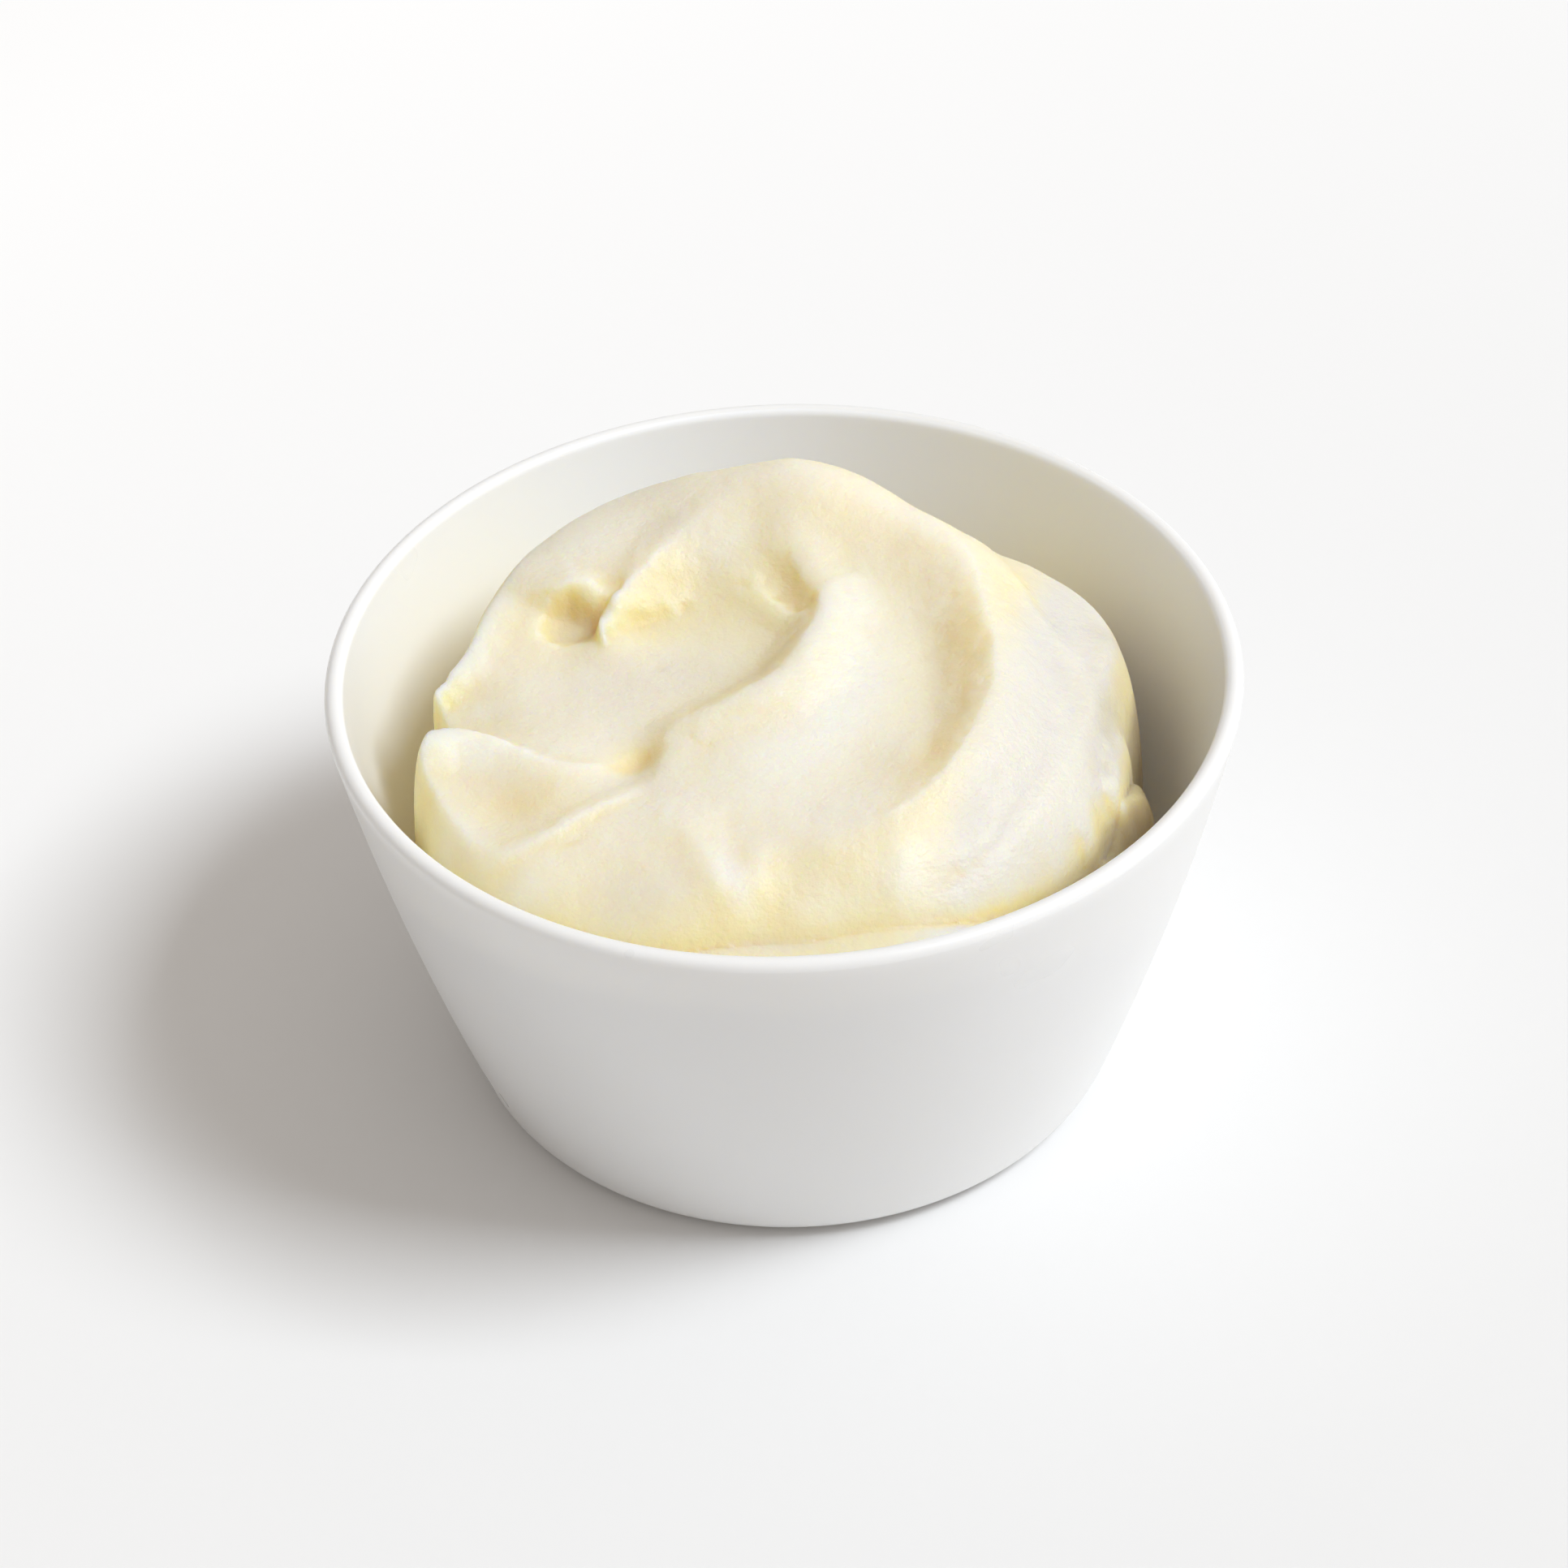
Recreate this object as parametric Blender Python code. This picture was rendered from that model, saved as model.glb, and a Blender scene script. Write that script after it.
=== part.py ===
# A side of mashed potato in its bowl.
# The bowl is a plain, tapered, glazed porcelain bowl. The mash fills it and stands above the rim
# as a mound that a spoon has swept into a swirl.
# Metres, +Z up. The origin is the middle of the bowl's base, on the surface it stands on.

import math

import bmesh
import bpy
import numpy as np

MM = 0.001

# Bowl
RIM_RADIUS = 57.5 * MM
BOWL_HEIGHT = 60.0 * MM
BASE_RADIUS = 43.1 * MM
LIP_THICKNESS = 2.4 * MM
WALL_BULGE = 1.05 * MM          # how far the wall swells past a straight taper, halfway up
WALL_GROWTH = 0.012             # the wall gets this much thicker for each unit down from the lip
FLOOR_THICKNESS = 4.0 * MM
OUTER_CORNER = 3.3 * MM         # rounding between the wall and the foot
INNER_CORNER = 8.0 * MM         # rounding between the wall and the floor inside
FOOT_OUTER_RADIUS = BASE_RADIUS - OUTER_CORNER
FOOT_INNER_RADIUS = 33.5 * MM
RECESS_RADIUS = 32.3 * MM
RECESS_DEPTH = 1.2 * MM
BOWL_SEGMENTS = 64
WALL_STEPS = 5
CORNER_STEPS = 4
LIP_STEPS = 8
SHARP_ANGLE = 35                # degrees; edges that turn more than this stay crisp

# Mash
GAP = 0.3 * MM                  # between the mash and the bowl
GRID_STEPS = 48                 # squares across the swirl, each way
SIDE_STEPS = 2
SIDE_CORNER_STEPS = 3
SHOULDER = 7.0 * MM             # width of the rounded edge of the mound
NARROWEST = 3.4 * MM            # a slope of a fold is at least one and a half squares wide
LEAN_KEPT = 0.25                # share of the folds' overhang that these squares can carry
SPINE_POINTS = 60

# Round the mound, starting at +X and going by eighths of a turn towards +Y:
# the radius where the mound meets the skirt, and the skirt's height at the bowl's wall, in mm
FOOT_RADII = [47.0, 44.8, 44.5, 47.5, 46.3, 50.3, 52.0, 50.0]
SKIRT_HEIGHTS = [40.0, 40.0, 43.0, 42.0, 38.0, 42.0, 51.0, 46.0]

# Folds, in the order that the spoon left them. A route point is x, y, crest height, width of the
# steep side and width of the easy side, in mm. Steep is the side of the route that the steep slope
# is on, looking along it. A fold with a rise has that height over what is below it, and its
# points have no crest height. Lean is how far the crest hangs over the steep side, and the fades
# are the shares of the route over which the fold grows and dies away.
FOLDS = [
    dict(name="middle sweep", steep="right", fades=(0.0, 0.15), route=[
        (-3.5, 22.5, 64.8, 12, 12), (5.5, 18, 64, 14, 14), (11.5, 9.5, 62.8, 15, 15),
        (13.5, -2, 61.5, 15, 15), (11, -13.5, 60.5, 15, 15), (5.5, -23, 59.6, 14, 14),
        (-1.5, -30, 58.4, 12, 12), (-7.5, -36.5, 56.6, 9, 9)]),
    dict(name="outer coil", steep="right", fades=(0.1, 0.1), route=[
        (25.5, 24, 56, 9, 9), (32.5, 16, 56.4, 9, 9), (37.5, 5, 56.6, 9, 9), (40, -7, 56.5, 9, 9),
        (38.5, -17.5, 56.2, 9, 9), (35, -27.5, 55.8, 9, 9), (28.5, -35.5, 55.3, 9, 9),
        (21.5, -41, 54.6, 9, 9)]),
    dict(name="left back fold", steep="left", fades=(0.0, 0.0), route=[
        (-38, 16, 57.5, 7, 13), (-34, 21, 59.3, 7, 14), (-27.5, 26, 61.2, 7, 14),
        (-19, 30.5, 63, 7, 14), (-11.5, 33.5, 64.2, 7, 12), (-5.5, 33, 64.6, 7, 10),
        (-0.5, 31.5, 64.6, 7, 8)]),
    dict(name="inner coil", steep="right", lean=1.6, fades=(0.0, 0.22), route=[
        (-3, 30.5, 66.6, 16, 8), (3, 30.5, 67.6, 17, 8), (9, 28, 67.4, 16, 8),
        (15, 22.5, 66.9, 14, 8), (19.5, 16, 66.4, 11, 7), (23.5, 7.5, 65.9, 8, 6.5),
        (25.5, -1, 65.4, 5.5, 7), (25.5, -8.5, 64.9, 4.2, 9), (24.5, -16, 64.3, 3.8, 11),
        (20, -24, 63, 3.4, 12), (13, -31.5, 61.1, 3.2, 11), (8.5, -35, 60, 4, 10),
        (3, -37, 58.6, 5, 8)]),
    dict(name="hook", steep="right", lean=1.0, fades=(0.0, 0.0), route=[
        (-4, 30.5, 67.2, 3.5, 12), (-7.5, 26.5, 66.6, 3.2, 16), (-11.5, 22, 65.8, 3, 18),
        (-14.5, 18, 65, 2.8, 18), (-17, 14.5, 64.2, 2.6, 14), (-19.5, 12, 63.5, 2.4, 8),
        (-21.5, 9.5, 62.4, 2, 3.2), (-22, 7.5, 61, 1.8, 2.4), (-22.5, 4.5, 59.6, 1.6, 2)]),
    dict(name="hollow floor", steep="right", fades=(0.0, 0.0), route=[
        (-2, 7.5, 59.4, 7, 7), (-8.5, 3, 58.6, 9, 9), (-17, -0.5, 58, 11, 11),
        (-25, -3, 57.6, 11, 11), (-33, -4, 57, 10, 10), (-40, -6, 55.8, 8, 8)]),
    dict(name="curled lip", steep="right", lean=1.2, fades=(0.0, 0.0), route=[
        (-19.5, 7.5, 62, 3, 4), (-16.5, 9.5, 62.6, 4, 5), (-13.5, 12.5, 63, 6, 6),
        (-10, 16, 63.4, 6, 6), (-5.5, 19, 63.8, 4.5, 6), (-1, 17.5, 64, 3, 6),
        (3, 13, 64, 2.2, 6), (5.3, 6.7, 63.7, 2.2, 6), (5, 3.5, 63.4, 2.6, 6),
        (4, -0.5, 62.9, 4, 6), (1, -4.5, 62.3, 4.5, 6), (-3, -8, 61.7, 4, 5),
        (-7, -10.5, 61.1, 3, 5), (-11.5, -12.5, 60.5, 2.6, 5), (-18.5, -14.5, 59.3, 2.6, 4),
        (-20, -16, 58.3, 2.6, 4)]),
    dict(name="pocket lip", steep="right", lean=1.2, fades=(0.15, 0.0), route=[
        (-35, 17, 59.6, 3, 8), (-31.5, 16, 60.3, 1.8, 8), (-28.5, 13, 60.6, 1.3, 8),
        (-25.5, 12, 60.9, 1.3, 7), (-23, 10, 61.3, 2, 4)]),
    dict(name="left rim", steep="right", fades=(0.0, 0.0), route=[
        (-32.5, 15, 60, 6, 7), (-36.5, 13, 59.5, 6, 7), (-39, 8, 58.8, 6, 7),
        (-41, 3.5, 58, 6, 6), (-42, 0, 57.5, 6, 5), (-44, -2.5, 57, 6, 4),
        (-46, -5, 56.4, 6, 4)]),
    dict(name="left way out", steep="right", fades=(0.0, 0.0), route=[
        (-33, -6.5, 57, 5, 5), (-38, -6.5, 55.3, 4, 4), (-42, -4.5, 53, 4, 4),
        (-46, -1, 49.5, 4, 4)]),
    dict(name="left lobe", steep="left", lean=0.3, fades=(0.0, 0.2), route=[
        (-48, -12, 54.5, 3, 10), (-45.5, -11.5, 56.5, 3, 10), (-43, -11, 57.8, 3, 11),
        (-40, -11, 58.5, 3, 11), (-36.5, -13.5, 59, 3.5, 11), (-32.5, -16, 59.4, 4, 11),
        (-28, -19, 59.5, 4, 10), (-21.5, -20, 58.5, 3, 6)]),
    dict(name="thin ridge", steep="right", rise=1.2, fades=(0.1, 0.2), route=[
        (-41.5, -34.5, 2.4, 5), (-36, -33.5, 2.4, 5), (-29, -30, 2.2, 5), (-22.5, -26, 2.2, 4),
        (-18, -23.5, 2.4, 3)]),
    dict(name="front spur", steep="right", rise=0.9, fades=(0.5, 0.2), route=[
        (-12.5, -26, 7, 8), (-10, -34, 6, 8), (-8, -39.5, 5, 7), (-5.5, -43.5, 3.5, 5)]),
    dict(name="coil end", steep="right", rise=0.8, fades=(0.5, 0.25), route=[
        (15.5, -33, 6, 9), (14, -38.5, 5, 9), (12.5, -42, 4, 8), (12, -44.5, 4, 6)]),
    dict(name="front ledge", steep="right", lean=0.3, fades=(0.2, 0.15), route=[
        (-26.5, -41, 53.2, 2.5, 5), (-20.5, -43.5, 53.4, 1.8, 7), (-14, -45.5, 53.5, 1.2, 8),
        (-3, -46, 53.5, 1.2, 8), (6, -45, 53.7, 1.2, 8), (9.5, -44.5, 53.9, 1.3, 7),
        (13.5, -42, 54.4, 2, 5)]),
]

# Hollows: x, y, half length, half width, turn in degrees and depth, in mm
HOLLOWS = [
    (-26, 14, 4.6, 4.0, 0, 4.0),
    (-28.5, 6.5, 9.0, 6.0, 40, 1.5),
    (2.5, 13.5, 2.4, 3.4, 20, 2.6),
    (-18.5, -17.5, 3.2, 2.0, 15, 2.0),
    (-32.5, -24, 7.0, 5.0, 20, 1.8),
]


def clear_scene():
    for item in list(bpy.data.objects):
        bpy.data.objects.remove(item, do_unlink=True)


def make_material(name, colour, roughness):
    material = bpy.data.materials.new(name)
    material.use_nodes = True
    shader = material.node_tree.nodes["Principled BSDF"]
    shader.inputs["Base Color"].default_value = (*colour, 1.0)
    shader.inputs["Roughness"].default_value = roughness
    shader.inputs["Metallic"].default_value = 0.0
    return material


def add_object(name, mesh, material):
    mesh.materials.append(material)
    mesh.shade_smooth()
    mesh.set_sharp_from_angle(angle=math.radians(SHARP_ANGLE))
    item = bpy.data.objects.new(name, mesh)
    bpy.context.scene.collection.objects.link(item)
    return item


# The bowl's walls

def outer_radius(z):
    """The straight taper from base to lip, with a slight swelling halfway up."""
    share = z / (BOWL_HEIGHT - LIP_THICKNESS / 2)
    return BASE_RADIUS + (RIM_RADIUS - BASE_RADIUS) * share + 4 * WALL_BULGE * share * (1 - share)


def inner_radius(z):
    """The outer wall less its thickness, rounded into the floor."""
    radius = outer_radius(z) - LIP_THICKNESS - WALL_GROWTH * (BOWL_HEIGHT - z)
    below = np.clip(FLOOR_THICKNESS + INNER_CORNER - z, 0, INNER_CORNER)
    return radius - INNER_CORNER + np.sqrt(INNER_CORNER**2 - below**2)


def corner_heights(size, steps):
    """Heights over a quarter circle's foot, at even angles."""
    return [size * (1 - math.cos(math.pi / 2 * step / steps)) for step in range(1, steps + 1)]


def bowl_profile():
    """The outline of a half section, from the axis under the foot round to the axis inside."""
    profile = [(0.0, RECESS_DEPTH), (RECESS_RADIUS, RECESS_DEPTH), (FOOT_INNER_RADIUS, 0.0)]
    profile.append((FOOT_OUTER_RADIUS, 0.0))
    for z in corner_heights(OUTER_CORNER, CORNER_STEPS):
        back = OUTER_CORNER - math.sqrt(OUTER_CORNER**2 - (OUTER_CORNER - z)**2)
        profile.append((outer_radius(z) - back, z))
    lip_z = BOWL_HEIGHT - LIP_THICKNESS / 2
    for z in np.linspace(OUTER_CORNER, lip_z, WALL_STEPS + 1)[1:]:
        profile.append((outer_radius(z), z))
    lip_radius = LIP_THICKNESS / 2
    lip_middle = outer_radius(lip_z) - lip_radius
    for step in range(1, LIP_STEPS):
        angle = math.pi * step / LIP_STEPS
        profile.append((lip_middle + lip_radius * math.cos(angle),
                        lip_z + lip_radius * math.sin(angle)))
    corner_top = FLOOR_THICKNESS + INNER_CORNER
    for z in np.linspace(lip_z, corner_top, WALL_STEPS + 1):
        profile.append((inner_radius(z), z))
    for height in reversed(corner_heights(INNER_CORNER, CORNER_STEPS)[:-1]):
        z = FLOOR_THICKNESS + height
        profile.append((inner_radius(z), z))
    profile.append((inner_radius(FLOOR_THICKNESS), FLOOR_THICKNESS))
    profile.append((0.0, FLOOR_THICKNESS))
    return profile


def make_bowl():
    """The profile spun round the axis."""
    builder = bmesh.new()
    points = [builder.verts.new((radius, 0.0, z)) for radius, z in bowl_profile()]
    edges = [builder.edges.new(pair) for pair in zip(points, points[1:])]
    bmesh.ops.spin(builder, geom=points + edges, cent=(0, 0, 0), axis=(0, 0, 1),
                   angle=2 * math.pi, steps=BOWL_SEGMENTS, use_merge=True)
    bmesh.ops.remove_doubles(builder, verts=builder.verts, dist=0.01 * MM)
    bmesh.ops.recalc_face_normals(builder, faces=builder.faces)
    bmesh.ops.triangulate(builder, faces=builder.faces)
    mesh = bpy.data.meshes.new("bowl")
    builder.to_mesh(mesh)
    builder.free()
    porcelain = make_material("glazed_porcelain", (0.83, 0.83, 0.82), 0.18)
    return add_object("bowl", mesh, porcelain)


# The mash's height over a point, in mm

def round_the_mound(values, angle):
    """A smooth closed curve through values given at even steps round the mound (Fourier series)."""
    waves = np.fft.rfft(values) / len(values)
    total = np.full_like(angle, waves[0].real)
    for order in range(1, len(waves)):
        weight = 2 if order < len(values) / 2 else 1
        total += weight * waves[order].real * np.cos(order * angle)
        total -= weight * waves[order].imag * np.sin(order * angle)
    return total


def smooth_route(points):
    """A Catmull-Rom curve through the route's points, columns and all."""
    points = np.array(points, float)
    first = 2 * points[0] - points[1]
    last = 2 * points[-1] - points[-2]
    padded = np.vstack([first, points, last])
    place = np.linspace(0, len(points) - 1, SPINE_POINTS)
    cell = np.minimum(place.astype(int), len(points) - 2)
    t = (place - cell)[:, None]
    a, b, c, d = (padded[cell + shift] for shift in range(4))
    return 0.5 * (2 * b + (c - a) * t + (2 * a - 5 * b + 4 * c - d) * t**2
                  + (3 * b - a - 3 * c + d) * t**3)


def nearest_on_route(x, y, route):
    """Distance to the route, share of the way along it, side (+1 left, -1 right), leftward unit."""
    best = np.full(x.shape, np.inf)
    along = np.zeros_like(x)
    side = np.zeros_like(x)
    left_x = np.zeros_like(x)
    left_y = np.zeros_like(x)
    for index in range(len(route) - 1):
        ax, ay = route[index, :2]
        step_x, step_y = route[index + 1, :2] - route[index, :2]
        length = math.hypot(step_x, step_y)
        t = np.clip(((x - ax) * step_x + (y - ay) * step_y) / length**2, 0, 1)
        off_x = x - ax - t * step_x
        off_y = y - ay - t * step_y
        distance = np.hypot(off_x, off_y)
        closer = distance < best
        cross = (off_y * step_x - off_x * step_y) / (length * np.maximum(distance, 1e-9))
        best = np.where(closer, distance, best)
        along = np.where(closer, (index + t) / (len(route) - 1), along)
        side = np.where(closer, cross, side)
        left_x = np.where(closer, -step_y / length, left_x)
        left_y = np.where(closer, step_x / length, left_y)
    return best, along, side, left_x, left_y


def ease(t):
    t = np.clip(t, 0, 1)
    return t * t * (3 - 2 * t)


def prepare_folds():
    """Give each fold its smooth route, its widths and its rise over the folds before it."""
    ready = []
    for fold in FOLDS:
        route = smooth_route(fold["route"])
        share = np.linspace(0, 1, len(route))
        if "rise" in fold:
            rise = fold["rise"] * np.sin(math.pi * share)**0.5
        else:
            below = swirl(route[:, 0], route[:, 1], ready)[0]
            rise = route[:, 2] - below
        start, end = fold["fades"]
        if start:
            rise = rise * ease(share / start)
        if end:
            rise = rise * ease((1 - share) / end)
        ready.append(dict(route=route, share=share, rise=rise, steep_width=route[:, -2],
                          easy_width=route[:, -1], lean=fold.get("lean", 0.0),
                          steep_sign=1 if fold["steep"] == "left" else -1))
    return ready


def swirl(x, y, folds):
    """Height of the folds over the plateau, and how far their crests lean sideways."""
    height = 59.0 + 0.04 * y - 0.0025 * y**2 - 0.0012 * x**2
    lean_x = np.zeros_like(x)
    lean_y = np.zeros_like(x)
    for fold in folds:
        distance, along, side, left_x, left_y = nearest_on_route(x, y, fold["route"])
        steep = np.interp(along, fold["share"], fold["steep_width"])
        easy = np.interp(along, fold["share"], fold["easy_width"])
        rise = np.interp(along, fold["share"], fold["rise"])
        steepness = 0.5 * (1 + side * fold["steep_sign"])
        width = np.maximum(easy + (steep - easy) * steepness, NARROWEST / MM)
        slope = 1 - ease(distance / width)
        height = height + rise * slope
        push = fold["lean"] * np.clip(4 / steep, 0, 1)**2 * np.clip(rise / 5, 0, 1.2) * slope
        lean_x += fold["steep_sign"] * left_x * push
        lean_y += fold["steep_sign"] * left_y * push
    return height, lean_x, lean_y


def hollow_depth(x, y):
    """Soft oval hollows."""
    depth = np.zeros_like(x)
    for middle_x, middle_y, half_length, half_width, turn, deep in HOLLOWS:
        angle = math.radians(turn)
        along = (x - middle_x) * math.cos(angle) + (y - middle_y) * math.sin(angle)
        across = (y - middle_y) * math.cos(angle) - (x - middle_x) * math.sin(angle)
        depth += deep * np.exp(-1.2 * ((along / half_length)**2 + (across / half_width)**2))
    return depth


def mash_radius(z):
    """Radius of the mash against the wall at a height, GAP inside the bowl."""
    return inner_radius(z - GAP) - GAP


def mash_top():
    """Grid of points over the mound: a square stretched to the round of the bowl."""
    steps = np.linspace(-1, 1, GRID_STEPS + 1)
    u, v = np.meshgrid(steps, steps)
    disc_x = u * np.sqrt(1 - v**2 / 2)
    disc_y = v * np.sqrt(1 - u**2 / 2)
    angle = np.arctan2(disc_y, disc_x)
    skirt = round_the_mound(SKIRT_HEIGHTS, angle)
    reach = mash_radius(skirt * MM) / MM
    x = disc_x * reach
    y = disc_y * reach
    height, lean_x, lean_y = swirl(x, y, prepare_folds())
    height = height - hollow_depth(x, y)
    shoulder = SHOULDER / MM
    out = (np.hypot(x, y) - round_the_mound(FOOT_RADII, angle)) / shoulder + 1
    rounding = np.sqrt(1 - np.clip(out, 0, 1)**2)
    z = skirt + (height - skirt) * rounding
    x = x + lean_x * rounding * LEAN_KEPT
    y = y + lean_y * rounding * LEAN_KEPT
    return np.stack([x, y, z], -1) * MM


def make_mash():
    """The swirl on top, sides that follow the bowl's wall, and a flat underside."""
    top = mash_top()
    builder = bmesh.new()
    grid = [[builder.verts.new(point) for point in row] for row in top]
    for row in range(GRID_STEPS):
        for column in range(GRID_STEPS):
            builder.faces.new((grid[row][column], grid[row][column + 1],
                               grid[row + 1][column + 1], grid[row + 1][column]))
    ring = grid[0][:-1] + [row[-1] for row in grid[:-1]]
    ring += list(reversed(grid[-1][1:])) + [row[0] for row in reversed(grid[1:])]

    bottom_z = FLOOR_THICKNESS + GAP
    corner_top = bottom_z + INNER_CORNER
    levels = [(share, None) for share in np.linspace(0, 1, SIDE_STEPS + 1)[1:]]
    levels += [(None, bottom_z + z) for z in reversed(corner_heights(INNER_CORNER, SIDE_CORNER_STEPS)[:-1])]
    levels.append((None, bottom_z))
    start_heights = [vertex.co.z for vertex in ring]
    angles = [math.atan2(vertex.co.y, vertex.co.x) for vertex in ring]
    for share, fixed_z in levels:
        lower = []
        for start_z, angle in zip(start_heights, angles):
            z = start_z + (corner_top - start_z) * share if fixed_z is None else fixed_z
            radius = mash_radius(z)
            lower.append(builder.verts.new((radius * math.cos(angle), radius * math.sin(angle), z)))
        for index in range(len(ring)):
            after = (index + 1) % len(ring)
            builder.faces.new((ring[index], lower[index], lower[after], ring[after]))
        ring = lower
    builder.faces.new(ring)
    bmesh.ops.recalc_face_normals(builder, faces=builder.faces)
    bmesh.ops.triangulate(builder, faces=builder.faces)
    mesh = bpy.data.meshes.new("mashed_potato")
    builder.to_mesh(mesh)
    builder.free()
    potato = make_material("mashed_potato", (0.90, 0.84, 0.66), 0.5)
    return add_object("mashed_potato", mesh, potato)


clear_scene()
make_bowl()
make_mash()
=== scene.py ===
import math

import bpy
import numpy as np
from mathutils import Matrix, Vector


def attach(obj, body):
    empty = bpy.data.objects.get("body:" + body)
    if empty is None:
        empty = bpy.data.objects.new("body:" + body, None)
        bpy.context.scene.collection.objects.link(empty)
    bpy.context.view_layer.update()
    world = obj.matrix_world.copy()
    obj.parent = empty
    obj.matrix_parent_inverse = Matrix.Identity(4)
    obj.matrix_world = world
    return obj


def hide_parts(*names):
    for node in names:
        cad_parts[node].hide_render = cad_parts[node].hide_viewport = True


# A side of mashed potato, swept into a swirl, in its plain white bowl.

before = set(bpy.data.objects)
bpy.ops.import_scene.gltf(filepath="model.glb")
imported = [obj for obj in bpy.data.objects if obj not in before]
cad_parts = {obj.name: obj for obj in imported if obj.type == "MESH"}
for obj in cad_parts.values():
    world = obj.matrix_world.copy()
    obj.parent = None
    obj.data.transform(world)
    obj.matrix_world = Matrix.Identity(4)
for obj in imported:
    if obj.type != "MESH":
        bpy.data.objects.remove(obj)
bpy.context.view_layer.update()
scene = bpy.context.scene
mm = 0.001
print("frame loaded:", ", ".join(sorted(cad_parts)))


# Camera. The photograph is square; the lens and the place were fitted to the bowl's rim and base.

photoView = {
    "place": (-0.4, -333.5, 317.1),     # mm
    "lookDown": 39.847,                 # degrees below level
    "roll": -2.002,                     # degrees
    "lens": 77.06,                      # mm, on a 36 mm wide sensor
    "sensor": 36.0,
}


def makeCamera(view):
    pitch = math.radians(view["lookDown"])
    roll = math.radians(view["roll"])
    forward = Vector((0, math.cos(pitch), -math.sin(pitch)))
    level = Vector((1, 0, 0))
    upright = Vector((0, math.sin(pitch), math.cos(pitch)))
    right = math.cos(roll) * level + math.sin(roll) * upright
    up = math.cos(roll) * upright - math.sin(roll) * level
    data = bpy.data.cameras.new("photoCamera")
    data.sensor_width = view["sensor"]
    data.lens = view["lens"]
    camera = bpy.data.objects.new("photoCamera", data)
    scene.collection.objects.link(camera)
    place = Vector(view["place"]) * mm
    camera.matrix_world = Matrix((
        (right.x, up.x, -forward.x, place.x),
        (right.y, up.y, -forward.y, place.y),
        (right.z, up.z, -forward.z, place.z),
        (0, 0, 0, 1)))
    scene.camera = camera


makeCamera(photoView)
print("camera placed")


# Small tools for surfaces that are worked out as whole arrays

def ease(t):
    # smooth step from 0 to 1
    t = np.clip(t, 0, 1)
    return t * t * (3 - 2 * t)


def lumpNoise(x, y, size, seed):
    # random values on a square lattice of the given size, blended smoothly in between, about -2 to 2
    table = np.random.default_rng(seed).standard_normal((256, 256))
    turn = 0.6 + seed
    u = (x * math.cos(turn) + y * math.sin(turn)) / size + 512.3
    v = (y * math.cos(turn) - x * math.sin(turn)) / size + 512.7
    i = np.floor(u).astype(int)
    j = np.floor(v).astype(int)
    s = u - i
    t = v - j
    s = s**3 * (s * (6 * s - 15) + 10)
    t = t**3 * (t * (6 * t - 15) + 10)
    low = table[i % 256, j % 256] * (1 - s) + table[(i + 1) % 256, j % 256] * s
    high = table[i % 256, (j + 1) % 256] * (1 - s) + table[(i + 1) % 256, (j + 1) % 256] * s
    return low * (1 - t) + high * t


def buildMesh(name, points, quads, triangles):
    # points in mm; faces as index arrays
    mesh = bpy.data.meshes.new(name)
    mesh.vertices.add(len(points))
    mesh.vertices.foreach_set("co", (points * mm).astype(np.float32).ravel())
    corners = np.concatenate([quads.ravel(), triangles.ravel()])
    sizes = np.concatenate([np.full(len(quads), 4), np.full(len(triangles), 3)])
    mesh.loops.add(len(corners))
    mesh.loops.foreach_set("vertex_index", corners)
    mesh.polygons.add(len(sizes))
    mesh.polygons.foreach_set("loop_start", np.cumsum(sizes) - sizes)
    mesh.update(calc_edges=True)
    mesh.validate()
    mesh.shade_smooth()
    return mesh


def addPiece(name, mesh, material):
    mesh.materials.append(material)
    piece = bpy.data.objects.new(name, mesh)
    scene.collection.objects.link(piece)
    return piece


def addPointMask(mesh, name, values):
    mask = mesh.attributes.new(name, "FLOAT", "POINT")
    mask.data.foreach_set("value", values.astype(np.float32).ravel())


# Material tools

def startMaterial(name):
    material = bpy.data.materials.new(name)
    material.use_nodes = True
    nodes = material.node_tree.nodes
    return material, nodes, material.node_tree.links, nodes["Principled BSDF"]


def softVariationGroup():
    # cloudy mask and fine height on Object coordinates, used by the glaze and the mash
    group = bpy.data.node_groups.new("softVariation", "ShaderNodeTree")
    for name, value in (("Cloud Size", 0.01), ("Grain Size", 0.001)):
        socket = group.interface.new_socket(name, in_out="INPUT", socket_type="NodeSocketFloat")
        socket.default_value = value
    group.interface.new_socket("Clouds", in_out="OUTPUT", socket_type="NodeSocketFloat")
    group.interface.new_socket("Grain", in_out="OUTPUT", socket_type="NodeSocketFloat")
    nodes, links = group.nodes, group.links
    entry = nodes.new("NodeGroupInput")
    leave = nodes.new("NodeGroupOutput")
    place = nodes.new("ShaderNodeTexCoord")
    for size, result, detail in (("Cloud Size", "Clouds", 3.0), ("Grain Size", "Grain", 4.0)):
        divide = nodes.new("ShaderNodeMath")
        divide.operation = "DIVIDE"
        divide.inputs[0].default_value = 1.0
        links.new(entry.outputs[size], divide.inputs[1])
        noise = nodes.new("ShaderNodeTexNoise")
        noise.inputs["Detail"].default_value = detail
        links.new(place.outputs["Object"], noise.inputs["Vector"])
        links.new(divide.outputs[0], noise.inputs["Scale"])
        links.new(noise.outputs["Fac"], leave.inputs[result])
    return group


softVariation = softVariationGroup()


def addVariation(nodes, cloudSize, grainSize):
    variation = nodes.new("ShaderNodeGroup")
    variation.node_tree = softVariation
    variation.inputs["Cloud Size"].default_value = cloudSize
    variation.inputs["Grain Size"].default_value = grainSize
    return variation


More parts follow.
